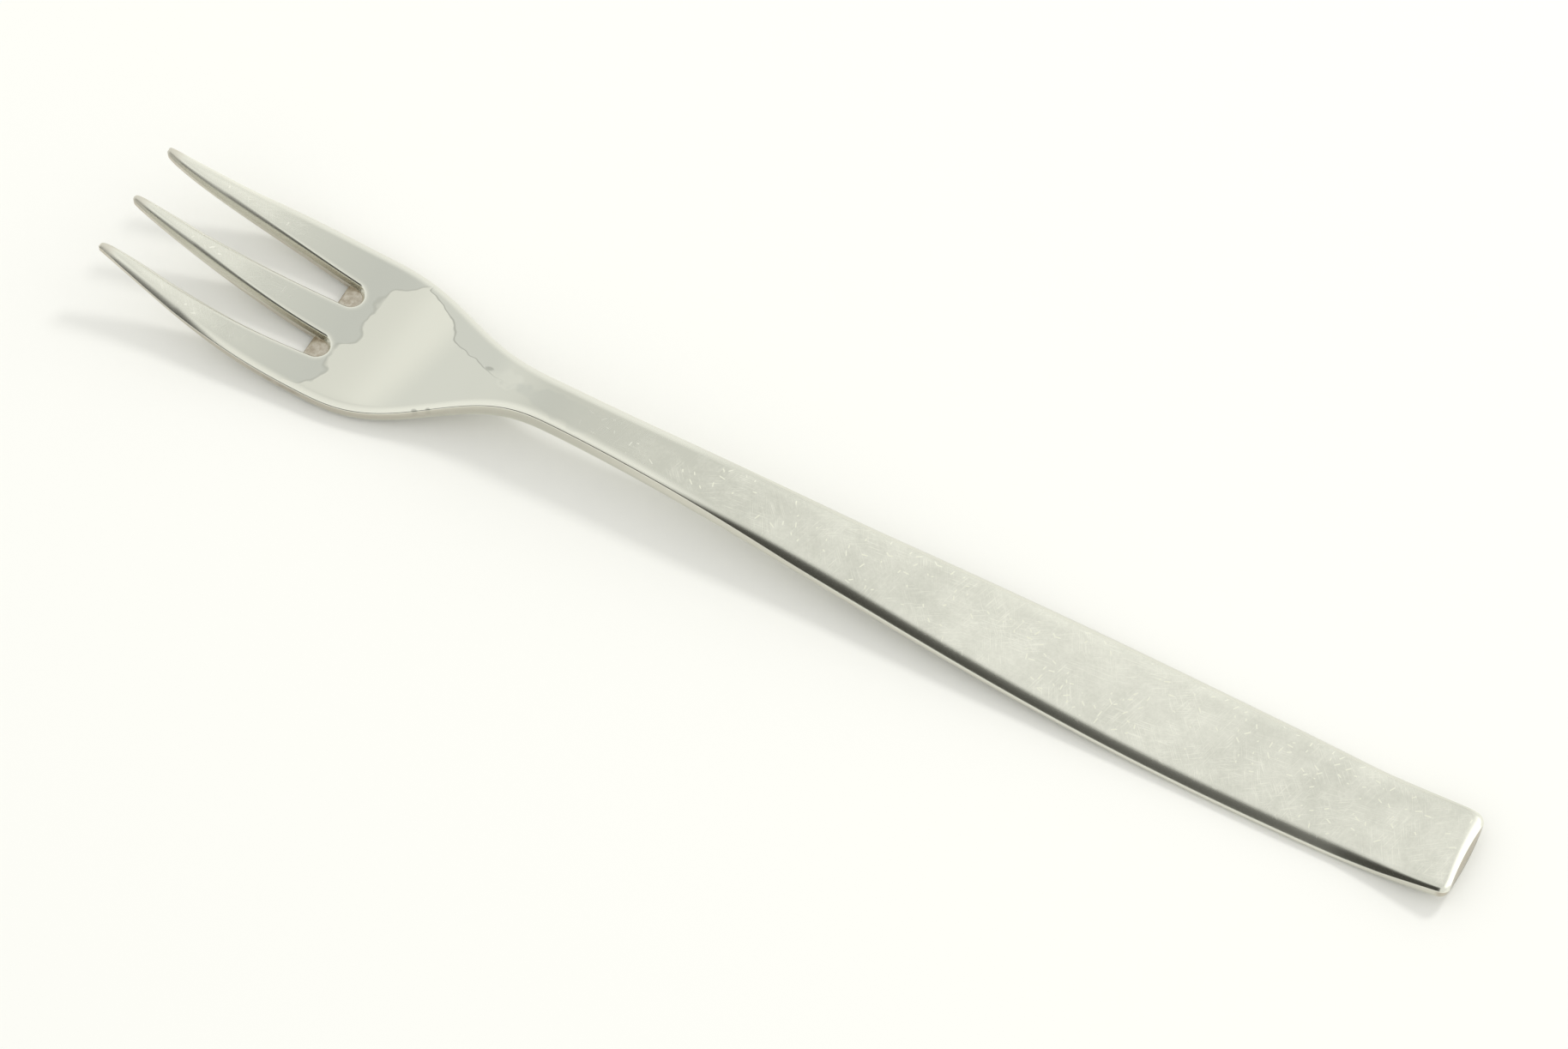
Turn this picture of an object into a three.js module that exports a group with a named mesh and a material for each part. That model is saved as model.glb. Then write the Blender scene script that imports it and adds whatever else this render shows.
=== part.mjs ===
// Dessert fork: one piece of pressed stainless steel with three tines, lying face up.
// Millimetres, +Z up. X runs from the end of the handle to the tips of the tines, and Z = 0 is the table.
// The origin is on the table, under the middle of the fork's length.

import * as THREE from "three";
import { mergeVertices } from "three/addons/utils/BufferGeometryUtils.js";

const { clamp, lerp, smoothstep, smootherstep } = THREE.MathUtils;

// Lengths along the fork
const HANDLE_LENGTH = 114; // end of the handle to the narrowest part of the neck
const BOWL_LENGTH = 29; // neck to the roots of the slots
const TINE_LENGTH = 27.7; // roots of the slots to the tips
const HANDLE_WIDEST_AT = 31; // widest part of the handle, from its end

// Widths in plan
const HANDLE_END_WIDTH = 10.7;
const HANDLE_WIDTH = 12.6;
const NECK_WIDTH = 5.6;
const HEAD_WIDTH = 20.7;
const TIP_SPAN = 15.6; // across the outer edges of the outer tips
const TAPER_BEND = 20; // the head's sides curve in over this length, then run straight
const SLOT_WIDTH = 2.3; // just past the round root
const TINE_TIP_WIDTH = 0.5;
const CORNER_RADIUS = 1.2; // corners of the handle's end

// Thicknesses of the steel
const HANDLE_THICKNESS = 2.1;
const NECK_THICKNESS = 2.7;
const BOWL_THICKNESS = 1.9;
const TIP_THICKNESS = 1.5;

// Side profile: how the underside rises over the table
const END_CURL = 16; // end of the handle that is turned up a little
const END_LIFT = 1.6;
const REST_LENGTH = 8; // flat stretch after it, which lies on the table
const NECK_RISE = 4.95;
const CREST_LEAD = 1.5; // the fall to the bowl starts this far before the neck
const CREST_LAG = 8; // the climb of the handle ends this far past the neck
const BELLY_LEAD = 2.5; // the fall ends this far before the roots of the slots
const SWEEP_LEAD = 8; // the upward bend of the tines starts this far before their roots
const TINE_BEND = 30; // the tines bend up over this length, then run straight
const TIP_RISE = 7.8;
const BOWL_DISH = 0.4; // how far the bowl's edges stand above its middle

// Rounded edges and slot roots
const EDGE_ROUND = 0.7;
const UNDER_ROUND = 0.45;
const END_ROUND = 1.7; // length of the rounding on the handle's end
const END_DROP = 1.2; // height that this rounding takes off the face
const TIP_ROUND = 0.9;
const TIP_DROP = 0.5;
const SLOT_RAMP = 2.6; // a slot's sloping root, from the face to the underside
const ROUND_SHARE = 0.45; // most of a narrow tine's width that one rounding may take

// Shape of the curves: above 1 an outline stays wide for longer, below 1 it is fuller at the tip
const HANDLE_FULLNESS = 1.15;
const TINE_FULLNESS = 0.62;
const RAMP_FULLNESS = 1.5;

// How finely the surface is divided
const ARC_STEPS = 3;
const CURL_STEPS = 4;
const HANDLE_STEPS = 18;
const BOWL_STEPS = 15;
const TINE_STEPS = 11;

const STEEL_COLOUR = 0xc9c8bd;
const WELD_TOLERANCE = 1e-4;

// Stations and half widths that follow from the dimensions
const climbAt = END_CURL + REST_LENGTH;
const neckAt = HANDLE_LENGTH;
const slotAt = neckAt + BOWL_LENGTH;
const tipAt = slotAt + TINE_LENGTH;
const bellyAt = slotAt - BELLY_LEAD;
const openAt = slotAt + SLOT_RAMP;
const rootLength = SLOT_WIDTH / 2;
const tineRootWidth = (HEAD_WIDTH - 2 * SLOT_WIDTH) / 3;

// How much a rounding has taken off: nothing at 0, all of it at 1, along a quarter circle
function quarterRound(t) {
  return 1 - Math.sqrt(1 - clamp(t, 0, 1) ** 2);
}

// A curve that starts level at `from`, bends over a length and runs on straight, to reach 1 at the tips
function sweep(s, from, bendLength) {
  const run = (length) => {
    const t = clamp(length / bendLength, 0, 1);
    const bend = bendLength * (t ** 3 - t ** 4 / 2);
    return bend + Math.max(0, length - bendLength);
  };
  return run(s - from) / run(tipAt - from);
}

// Outline of the whole blank at station s, before the slots are cut
function halfWidth(s) {
  const barrel = Math.max(0, 1 - s / HANDLE_WIDEST_AT) ** 2;
  const along = clamp((s - HANDLE_WIDEST_AT) / (neckAt - HANDLE_WIDEST_AT), 0, 1);
  const taper = smoothstep(along ** HANDLE_FULLNESS, 0, 1);
  const flare = smootherstep(s, neckAt, slotAt);
  const width =
    lerp(HANDLE_WIDTH, HANDLE_END_WIDTH, barrel) +
    (NECK_WIDTH - HANDLE_WIDTH) * taper +
    (HEAD_WIDTH - NECK_WIDTH) * flare +
    (TIP_SPAN - HEAD_WIDTH) * sweep(s, slotAt, TAPER_BEND);
  return width / 2 - CORNER_RADIUS * quarterRound(1 - s / CORNER_RADIUS);
}

function thickness(s) {
  return (
    HANDLE_THICKNESS +
    (NECK_THICKNESS - HANDLE_THICKNESS) * smoothstep(s, HANDLE_WIDEST_AT, neckAt) +
    (BOWL_THICKNESS - NECK_THICKNESS) * smoothstep(s, neckAt, bellyAt) +
    (TIP_THICKNESS - BOWL_THICKNESS) * smoothstep(s, slotAt, tipAt)
  );
}

// Height of the underside over the table, with the bowl dished across its width
function underside(s, y) {
  const curl = Math.max(0, 1 - s / END_CURL) ** 2;
  const climb = smoothstep(s, climbAt, neckAt + CREST_LAG);
  const fall = smootherstep(s, neckAt - CREST_LEAD, bellyAt);
  const dish = smootherstep(s, neckAt, bellyAt) * (1 - smoothstep(s, slotAt, tipAt));
  const across = y / (HEAD_WIDTH / 2);
  return (
    END_LIFT * curl +
    NECK_RISE * (climb - fall) +
    TIP_RISE * sweep(s, slotAt - SWEEP_LEAD, TINE_BEND) +
    BOWL_DISH * dish * across ** 2
  );
}

// How deep a slot is at station s, from 0 at the face to 1 right through
function slotDepth(s) {
  return s < openAt ? clamp((s - slotAt) / SLOT_RAMP, 0, 1) ** RAMP_FULLNESS : 1;
}

// The two edges of a slot at station s: they meet on its centre line up to the round root
function slotEdges(s) {
  const left = clamp((tipAt - s) / TINE_LENGTH, 0, 1);
  const tineWidth = lerp(TINE_TIP_WIDTH, tineRootWidth, left ** TINE_FULLNESS);
  const inner = tineWidth / 2;
  const outer = halfWidth(s) - tineWidth;
  if (s <= slotAt) {
    const atRoot = (tineRootWidth + SLOT_WIDTH) / 2;
    const centre = (atRoot * halfWidth(s)) / (HEAD_WIDTH / 2);
    return [centre, centre];
  }
  const centre = (inner + outer) / 2;
  const half = ((outer - inner) / 2) * (1 - quarterRound(1 - (s - slotAt) / rootLength));
  return [centre - half, centre + half];
}

// Points over one rounded edge of a strip, from the edge inwards. `edge` is 1 on the edge itself and
// 0 where the rounding ends, and stays 0 on an edge that isn't rounded.
function overEdge(at, inwards, size) {
  return Array.from({ length: ARC_STEPS + 1 }, (_, k) => {
    const turn = Math.cos((k / ARC_STEPS) * (Math.PI / 2));
    return { y: at + inwards * size * (1 - turn), edge: size > 0 ? turn : 0, size };
  });
}

// Points across one strip of metal, from its low edge to its high edge
function acrossStrip(low, high, lowRound, highRound) {
  const limit = (high - low) * ROUND_SHARE;
  const lowEdge = overEdge(low, 1, Math.min(lowRound, limit));
  const highEdge = overEdge(high, -1, Math.min(highRound, limit));
  const middle = { y: (lowEdge.at(-1).y + highEdge.at(-1).y) / 2, edge: 0, size: 0 };
  return [...lowEdge, middle, ...highEdge.reverse()];
}

// Height lost to the roundings at a point: the long edges, the handle's end and the tips
function roundingLoss(s, point, endLength, endDrop, tipDrop) {
  const end = clamp(1 - s / endLength, 0, 1);
  const tip = clamp(1 - (tipAt - s) / TIP_ROUND, 0, 1);
  const lengthwise = Math.max(end, tip);
  const drop = end > 0 ? endDrop : tipDrop;
  const both = Math.hypot(point.edge, lengthwise);
  const size = both > 0 ? lerp(point.size, drop, (lengthwise / both) ** 2) : 0;
  return size * quarterRound(both);
}

// One row of points across the fork's face or underside, with the slots' floors between the strips
function row(s, isFace) {
  const outline = halfWidth(s);
  const [inner, outer] = slotEdges(s);
  const edgeRound = isFace ? EDGE_ROUND : UNDER_ROUND;
  const opening = isFace ? slotDepth(s) : smoothstep(s, openAt, openAt + SLOT_RAMP);
  const slotRound = edgeRound * opening;
  const strips = [
    acrossStrip(-outline, -outer, edgeRound, slotRound),
    acrossStrip(-inner, inner, slotRound, slotRound),
    acrossStrip(outer, outline, slotRound, edgeRound),
  ];
  const metal = (point) => {
    const loss = isFace
      ? roundingLoss(s, point, END_ROUND, END_DROP, TIP_DROP)
      : -roundingLoss(s, point, UNDER_ROUND, UNDER_ROUND, UNDER_ROUND);
    const height = isFace ? thickness(s) : 0;
    return new THREE.Vector3(s, point.y, underside(s, point.y) + height - loss);
  };
  return strips.map((strip) => strip.map(metal));
}

// The rows of face and underside at one station, joined through the floors of the slots
function section(s) {
  const face = row(s, true);
  const under = row(s, false);
  const depth = slotDepth(s);
  const upper = [];
  const lower = [];
  const floor = [];
  for (let k = 0; k < face.length; k++) {
    if (k > 0) {
      const sides = [face[k - 1].at(-1), face[k][0]];
      const bases = [under[k - 1].at(-1), under[k][0]];
      for (let side = 0; side < 2; side++) {
        const base = bases[side].clone();
        upper.push(base.clone().setZ(lerp(sides[side].z, base.z, depth)));
        lower.push(base);
      }
      floor.push(upper.length - 2);
    }
    upper.push(...face[k]);
    lower.push(...under[k]);
  }
  return { upper, lower, floor, open: depth === 1 };
}

function evenly(from, to, count) {
  return Array.from({ length: count }, (_, k) => lerp(from, to, k / count));
}

// Stations that crowd towards `from`, where a round end is steep
function crowded(from, to, count) {
  return Array.from({ length: count }, (_, k) => lerp(from, to, 1 - Math.cos((k / count) * (Math.PI / 2))));
}

function stationList() {
  return [
    ...crowded(0, END_ROUND, ARC_STEPS + 1),
    ...evenly(END_ROUND, END_CURL, CURL_STEPS),
    END_CURL,
    ...evenly(climbAt, neckAt, HANDLE_STEPS),
    ...evenly(neckAt, slotAt, BOWL_STEPS),
    ...crowded(slotAt, slotAt + rootLength, ARC_STEPS),
    ...evenly(slotAt + rootLength, openAt, ARC_STEPS),
    ...evenly(openAt, tipAt - TIP_ROUND, TINE_STEPS),
    ...evenly(tipAt - TIP_ROUND, tipAt, ARC_STEPS),
    tipAt,
  ];
}

// Closed skin through all the sections
function forkGeometry() {
  const sections = stationList().map(section);
  const corners = [];
  const quad = (a, b, c, d) => corners.push(a, b, c, a, c, d);
  const last = sections[0].upper.length - 1;

  for (let i = 0; i + 1 < sections.length; i++) {
    const here = sections[i];
    const next = sections[i + 1];
    for (let j = 0; j < last; j++) {
      if (here.floor.includes(j) && here.open && next.open) continue;
      quad(here.upper[j], next.upper[j], next.upper[j + 1], here.upper[j + 1]);
      quad(here.lower[j], here.lower[j + 1], next.lower[j + 1], next.lower[j]);
    }
    quad(here.lower[0], next.lower[0], next.upper[0], here.upper[0]);
    quad(next.lower[last], here.lower[last], here.upper[last], next.upper[last]);
  }

  const end = sections[0];
  const tips = sections.at(-1);
  for (let j = 0; j < last; j++) {
    quad(end.lower[j + 1], end.lower[j], end.upper[j], end.upper[j + 1]);
    if (tips.floor.includes(j)) continue;
    quad(tips.lower[j], tips.lower[j + 1], tips.upper[j + 1], tips.upper[j]);
  }
  return weld(new THREE.BufferGeometry().setFromPoints(corners));
}

// Shared corners become one, and triangles that have closed up to a line go
function weld(loose) {
  const geometry = mergeVertices(loose, WELD_TOLERANCE);
  const index = geometry.getIndex();
  const kept = [];
  for (let k = 0; k < index.count; k += 3) {
    const [a, b, c] = [index.getX(k), index.getX(k + 1), index.getX(k + 2)];
    if (a !== b && b !== c && c !== a) kept.push(a, b, c);
  }
  geometry.setIndex(kept);
  geometry.computeVertexNormals();
  return geometry;
}

const steel = new THREE.MeshStandardMaterial({ color: STEEL_COLOUR, roughness: 0.28, metalness: 1 });

const fork = new THREE.Mesh(forkGeometry(), steel);
fork.name = "fork";
fork.position.x = -tipAt / 2;

const dessertFork = new THREE.Group();
dessertFork.add(fork);

export default dessertFork;
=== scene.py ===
# Dessert fork of worn stainless steel with three tines, lying face up on a pale table.
import math
from collections import namedtuple
from types import SimpleNamespace

import bmesh
import bpy
import numpy as np
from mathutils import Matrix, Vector


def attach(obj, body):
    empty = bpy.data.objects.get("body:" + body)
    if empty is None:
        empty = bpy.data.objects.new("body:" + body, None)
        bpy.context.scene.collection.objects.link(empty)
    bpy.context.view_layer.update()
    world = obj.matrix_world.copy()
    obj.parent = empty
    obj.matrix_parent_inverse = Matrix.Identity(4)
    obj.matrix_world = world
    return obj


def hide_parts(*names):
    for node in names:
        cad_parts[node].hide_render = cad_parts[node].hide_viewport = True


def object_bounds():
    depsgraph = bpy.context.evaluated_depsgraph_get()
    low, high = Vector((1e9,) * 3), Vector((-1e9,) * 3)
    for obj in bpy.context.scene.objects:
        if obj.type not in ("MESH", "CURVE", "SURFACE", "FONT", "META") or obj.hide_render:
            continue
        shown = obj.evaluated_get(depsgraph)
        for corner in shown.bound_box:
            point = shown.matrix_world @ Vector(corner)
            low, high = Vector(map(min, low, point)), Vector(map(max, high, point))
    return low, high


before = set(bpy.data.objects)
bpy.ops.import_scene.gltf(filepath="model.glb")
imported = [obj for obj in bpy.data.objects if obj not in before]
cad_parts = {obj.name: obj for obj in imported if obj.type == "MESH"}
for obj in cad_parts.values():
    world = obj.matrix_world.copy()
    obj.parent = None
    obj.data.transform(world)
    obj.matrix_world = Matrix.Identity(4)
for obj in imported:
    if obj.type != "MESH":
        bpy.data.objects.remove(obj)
cad_low, cad_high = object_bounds()

# Lengths are in metres, unless a heading says millimetres
MM = 0.001

# Plan of the blank: stations are lengths from the end of the handle
FORK_LENGTH = cad_high.x - cad_low.x
HEAD_WIDTH = cad_high.y - cad_low.y
NECK_AT = 114 * MM
SLOT_AT = 143 * MM
HANDLE_WIDEST_AT = 31 * MM
HANDLE_END_WIDTH = 10.7 * MM
HANDLE_WIDTH = 12.6 * MM
HANDLE_FULLNESS = 1.15
NECK_WIDTH = 5.6 * MM
TIP_SPAN = 15.6 * MM
TAPER_BEND = 20 * MM
SLOT_WIDTH = 2.3 * MM
TINE_TIP_WIDTH = 0.6 * MM
TINE_FULLNESS = 0.62
CORNER_RADIUS = 0.9 * MM

# Thickness of the rolled strip
HANDLE_THICKNESS = 2.1 * MM
NECK_THICKNESS = 2.7 * MM
BOWL_THICKNESS = 1.9 * MM
TIP_THICKNESS = 1.5 * MM
HANDLE_CROWN = 0.12 * MM
LEAST_WALL = 0.12 * MM

# Edges rolled over by polishing: a soft turn up to a tilt, then a tight turn into the wall.
# Each is a width, the tilt it reaches, how late it turns, and the share of the width that turns.
HANDLE_ROLL = np.array((2.6 * MM, math.radians(60), 1.75, 1.0))
NECK_ROLL = np.array((0.95 * MM, math.radians(25), 0.5, 1.0))
TINE_ROLL = np.array((1.7 * MM, math.radians(50), 1.0, 1.0))
CORNER_ROLL = np.array((0.7 * MM, math.radians(48), 1.2, 1.0))
SLOT_ROOT_ROLL = np.array((0.8 * MM, math.radians(63), 2.5, 0.6))
SLOT_TIP_ROLL = np.array((1.35 * MM, math.radians(60), 1.4, 0.7))
CRISP_RADIUS = 0.12 * MM
ROLL_SHARE = 0.95

# Stations between which one roll gives way to the next
CORNER_REACH = 15 * MM
NECK_ROLL_FROM = 72 * MM
NECK_ROLL_TO = 100 * MM
SLOT_ROLL_FROM = SLOT_AT + 3 * MM
SLOT_ROLL_TO = SLOT_AT + 20 * MM
TINE_ROLL_FROM = SLOT_AT + 8 * MM
TINE_ROLL_TO = SLOT_AT + 21 * MM

# The handle's end: slightly bowed, with a bevel that widens to one side and corners that droop
END_BOW = 0.35 * MM
END_BOW_LENGTH = 9 * MM
END_SET_BACK = 0.5 * MM
END_BEVEL = 1.7 * MM
END_BEVEL_TAPER = 0.35
END_BEVEL_TILT = math.radians(40)
END_DROOP = 0.1 * MM
DROOP_REACH = 6 * MM

# Rounded edges of the underside, and dropped noses of the tips
UNDER_ROUND = 0.45 * MM
SLOT_UNDER_ROUND = 0.2 * MM
NOSE_LENGTH = 1.4 * MM
NOSE_DROP = 0.45 * MM

# Sloping roots of the slots, and how far their floors count as wall in the finish
SLOT_RAMP = 2.6 * MM
RAMP_FULLNESS = 1.5
RAMP_DEPTH = 0.75
FLOOR_SHADE = 0.7

# Press: how the underside rises over the table
END_CURL = 16 * MM
END_LIFT = 1.6 * MM
CLIMB_FROM = 24 * MM
CLIMB_TO = 122 * MM
NECK_RISE = 4.95 * MM
FALL_FROM = 112.5 * MM
BELLY_AT = 140.5 * MM
BEND_FROM = 135 * MM
BEND_LENGTH = 30 * MM
TIP_RISE = 7.8 * MM
BOWL_DISH = 0.4 * MM

# How finely the skin is divided
ARC_STEPS = 12
ARC_CROWDING = 0.8
CRISP_STEPS = 3
FLAT_STEPS = 4
ROUND_STEPS = 14
HANDLE_STEPS = 110
BOWL_STEPS = 64
TINE_STEPS = 70
ROOT_STEPS = 18
ROOT_SPREAD = 1.4
END_FINE = 4 * MM
TIP_FINE = 1.5 * MM
SLOPE_SAMPLES = 16
BLOCK_STATIONS = 12
NEAR_REACH = 3 * MM
TINY_LENGTH = 1e-12
TINY_AREA = 1e-18
MERGE_DISTANCE = 0.2e-6
SLIVER = 0.1e-6
SHARP_ANGLE = math.radians(38)

tip_at = FORK_LENGTH
tip_radius = TINE_TIP_WIDTH / 2
open_at = SLOT_AT + SLOT_RAMP
root_length = SLOT_WIDTH / 2
tine_root_width = (HEAD_WIDTH - 2 * SLOT_WIDTH) / 3

# A rolled edge: full and soft width, tilt, how late it turns, the share that turns, and the tight radius
Roll = namedtuple("Roll", "full soft tilt late turning crisp")


# Curves that the outline and the profile follow
def ramp(s, low, high):
    return np.clip((s - low) / (high - low), 0, 1)


def smooth(s, low, high):
    t = ramp(s, low, high)
    return t * t * (3 - 2 * t)


def smoother(s, low, high):
    t = ramp(s, low, high)
    return t ** 3 * (t * (t * 6 - 15) + 10)


def quarter_round(t):
    return 1 - np.sqrt(1 - np.clip(t, 0, 1) ** 2)


# A run that eases from level into a straight slope
def bend_run(length, bend):
    t = np.clip(length / bend, 0, 1)
    return bend * (t ** 3 - t ** 4 / 2) + np.maximum(0, length - bend)


def half_width(s):
    barrel = np.maximum(0, 1 - s / HANDLE_WIDEST_AT) ** 2
    along = ramp(s, HANDLE_WIDEST_AT, NECK_AT) ** HANDLE_FULLNESS
    taper = bend_run(s - SLOT_AT, TAPER_BEND) / bend_run(tip_at - SLOT_AT, TAPER_BEND)
    width = HANDLE_WIDTH + (HANDLE_END_WIDTH - HANDLE_WIDTH) * barrel
    width = width + (NECK_WIDTH - HANDLE_WIDTH) * smooth(along, 0, 1)
    width = width + (HEAD_WIDTH - NECK_WIDTH) * smoother(s, NECK_AT, SLOT_AT)
    width = width + (TIP_SPAN - HEAD_WIDTH) * taper
    return width / 2 - CORNER_RADIUS * quarter_round(1 - s / CORNER_RADIUS)


def thickness(s):
    neck = (NECK_THICKNESS - HANDLE_THICKNESS) * smooth(s, HANDLE_WIDEST_AT, NECK_AT)
    bowl = (BOWL_THICKNESS - NECK_THICKNESS) * smooth(s, NECK_AT, BELLY_AT)
    tips = (TIP_THICKNESS - BOWL_THICKNESS) * smooth(s, SLOT_AT, tip_at)
    return HANDLE_THICKNESS + neck + bowl + tips


def tine_width(s):
    left = ramp(tip_at - s, 0, tip_at - SLOT_AT)
    return TINE_TIP_WIDTH + (tine_root_width - TINE_TIP_WIDTH) * left ** TINE_FULLNESS


def slot_depth(s):
    return np.where(s < open_at, RAMP_DEPTH * ramp(s, SLOT_AT, open_at) ** RAMP_FULLNESS, 1)


# How far the slots have opened to their full width, along their round roots
def slot_opening(s):
    return 1 - quarter_round(1 - ramp(s, SLOT_AT, SLOT_AT + root_length))


# Low and high edges of the three strips of metal: outer, middle and outer tine with what lies behind them
def strip_edges(s):
    tine = tine_width(s)
    outline = half_width(s)
    inner = tine / 2
    outer = outline - tine
    behind = (tine_root_width + SLOT_WIDTH) / 2 * outline / (HEAD_WIDTH / 2)
    centre = np.where(s > SLOT_AT, (inner + outer) / 2, behind)
    half = np.where(s > SLOT_AT, (outer - inner) / 2 * slot_opening(s), 0)
    strips = [(-outline, -centre - half), (-centre + half, centre - half), (centre + half, outline)]
    pointed = 1 - quarter_round(ramp(s, tip_at - tip_radius, tip_at))
    shaped = []
    for low, high in strips:
        middle = (low + high) / 2
        reach = (high - low) / 2 * pointed
        shaped.append((middle - reach, middle + reach))
    return shaped


# The rolled edge at each station, narrower where a tine has no room for it
def rolled_edge(s, is_slot):
    if is_slot:
        to_tine = smooth(s, SLOT_ROLL_FROM, SLOT_ROLL_TO)[..., None]
        roll = SLOT_ROOT_ROLL + (SLOT_TIP_ROLL - SLOT_ROOT_ROLL) * to_tine
    else:
        to_neck = smooth(s, NECK_ROLL_FROM, NECK_ROLL_TO)[..., None]
        to_tine = smooth(s, TINE_ROLL_FROM, TINE_ROLL_TO)[..., None]
        to_end = 1 - smooth(s, 0, CORNER_REACH)[..., None]
        roll = HANDLE_ROLL + (NECK_ROLL - HANDLE_ROLL) * to_neck
        roll = roll + (TINE_ROLL - NECK_ROLL) * to_tine + (CORNER_ROLL - HANDLE_ROLL) * to_end
    soft, tilt, late, turning = np.moveaxis(roll, -1, 0)
    full = soft + CRISP_RADIUS * (1 - np.sin(tilt))
    scale = np.minimum(1, ROLL_SHARE * tine_width(s) / 2 / full)
    return Roll(full * scale, soft * scale, tilt, late, turning, CRISP_RADIUS * scale)


# Height that a rolled edge has lost at a distance from the outline
def roll_drop(distance, roll):
    reach = np.maximum(0, roll.full - distance)
    share = np.minimum(1, reach / roll.soft)
    drop = np.zeros_like(share)
    for sample in range(SLOPE_SAMPLES):
        place = np.minimum(1, share * (sample + 0.5) / SLOPE_SAMPLES / roll.turning)
        drop = drop + np.tan(roll.tilt * place ** roll.late) * share * roll.soft / SLOPE_SAMPLES
    start = roll.crisp * np.sin(roll.tilt)
    turn = np.clip(reach - roll.soft + start, start, roll.crisp)
    return drop + roll.crisp * np.cos(roll.tilt) - np.sqrt(np.maximum(0, roll.crisp ** 2 - turn ** 2))


# Distances from a strip's edge at which the skin has its columns, close together where the edge turns
def roll_columns(s, is_slot):
    roll = rolled_edge(s, is_slot)
    columns = []
    for step in range(CRISP_STEPS):
        turn = math.pi / 2 + (roll.tilt - math.pi / 2) * step / CRISP_STEPS
        columns.append(roll.crisp * (1 - np.sin(turn)))
    for step in range(ARC_STEPS + 1):
        columns.append(roll.full - roll.soft * (1 - step / ARC_STEPS) ** ARC_CROWDING)
    return np.stack(columns, axis=1)


# Columns of the skin across one strip, from its low edge to its high one
def strip_columns(s, low, high, low_is_slot, high_is_slot):
    room = (high - low)[:, None] / 2 * ROLL_SHARE
    sides = []
    for is_slot in (low_is_slot, high_is_slot):
        rolled = roll_columns(s, is_slot)
        if is_slot:
            rolled = rolled * (1 + ROOT_SPREAD * (1 - slot_opening(s)))[:, None]
        sides.append(rolled * np.minimum(1, room / np.maximum(rolled[:, -1:], TINY_LENGTH)))
    left = low[:, None] + sides[0]
    right = high[:, None] - sides[1][:, ::-1]
    share = np.arange(1, FLAT_STEPS) / FLAT_STEPS
    flat = left[:, -1:] + (right[:, :1] - left[:, -1:]) * share
    return np.concatenate([left, flat, right], axis=1)


# Steps that crowd together at the low end
def crowded(low, high, count):
    t = np.arange(count) / count
    return low + (high - low) * (1 - np.cos(t * math.pi / 2))


def evenly(low, high, count):
    return low + (high - low) * np.arange(count) / count


# Stations of the skin, close together where the outline turns
def station_list():
    closing = tip_at - crowded(0, TIP_FINE, ROUND_STEPS)[::-1]
    round_tip = np.arange(ROUND_STEPS + 1) / ROUND_STEPS * math.pi / 2
    return np.concatenate([
        crowded(0, CORNER_RADIUS, ROUND_STEPS),
        evenly(CORNER_RADIUS, END_FINE, ROUND_STEPS),
        evenly(END_FINE, NECK_AT, HANDLE_STEPS),
        evenly(NECK_AT, SLOT_AT - root_length, BOWL_STEPS),
        evenly(SLOT_AT - root_length, SLOT_AT, ROOT_STEPS),
        crowded(SLOT_AT, SLOT_AT + root_length, ROOT_STEPS),
        evenly(SLOT_AT + root_length, open_at, ROOT_STEPS),
        evenly(open_at, tip_at - TIP_FINE, TINE_STEPS),
        closing[closing < tip_at - tip_radius],
        tip_at - tip_radius * np.cos(round_tip),
    ])


# Distance in plan from each point of the skin to the nearest edge of a slot, or to the nearest outer edge
def edge_distance(s, columns, strips, of_slot):
    starts, ends = [], []
    for index, (low, high) in enumerate(strips):
        for edge, is_slot in ((low, index > 0), (high, index < 2)):
            if is_slot != of_slot:
                continue
            points = np.stack([s, edge], axis=1)
            used = s[:-1] >= (SLOT_AT if is_slot else 0)
            starts.append(points[:-1][used])
            ends.append(points[1:][used])
    starts = np.concatenate(starts)
    runs = np.concatenate(ends) - starts
    lengths = np.maximum((runs ** 2).sum(axis=1), TINY_AREA)

    distance = np.full_like(columns, NEAR_REACH)
    for first in range(0, len(s), BLOCK_STATIONS):
        block = slice(first, first + BLOCK_STATIONS)
        low_s = s[block].min() - NEAR_REACH
        high_s = s[block].max() + NEAR_REACH
        near = (starts[:, 0] > low_s) & (starts[:, 0] < high_s)
        if not near.any():
            continue
        points = np.stack(np.broadcast_arrays(s[block, None], columns[block]), axis=-1)
        offset = points[:, :, None, :] - starts[near]
        share = np.clip((offset * runs[near]).sum(axis=-1) / lengths[near], 0, 1)
        gap = offset - share[..., None] * runs[near]
        distance[block] = np.sqrt((gap ** 2).sum(axis=-1).min(axis=-1))
    return distance


# Height that the face loses to the handle's crown, the bevel and droop of its end, and the tips' noses
def face_drop(station, columns):
    aside = columns / (HANDLE_END_WIDTH / 2)
    handle = 1 - smooth(station, NECK_ROLL_FROM, NECK_AT)
    crown = HANDLE_CROWN * handle * (columns / np.maximum(half_width(station), MM)) ** 2
    soft = END_BEVEL * (1 - END_BEVEL_TAPER * np.clip(aside, -1, 1))
    full = soft + CRISP_RADIUS * (1 - math.sin(END_BEVEL_TILT))
    bevel = roll_drop(station, Roll(full, soft, END_BEVEL_TILT, 1.0, 1.0, CRISP_RADIUS))
    droop = END_DROOP * aside ** 2 * (1 - ramp(station, 0, DROOP_REACH)) ** 2
    nose = NOSE_DROP * quarter_round(ramp(station, tip_at - NOSE_LENGTH, tip_at))
    return crown + bevel + droop + nose


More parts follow.
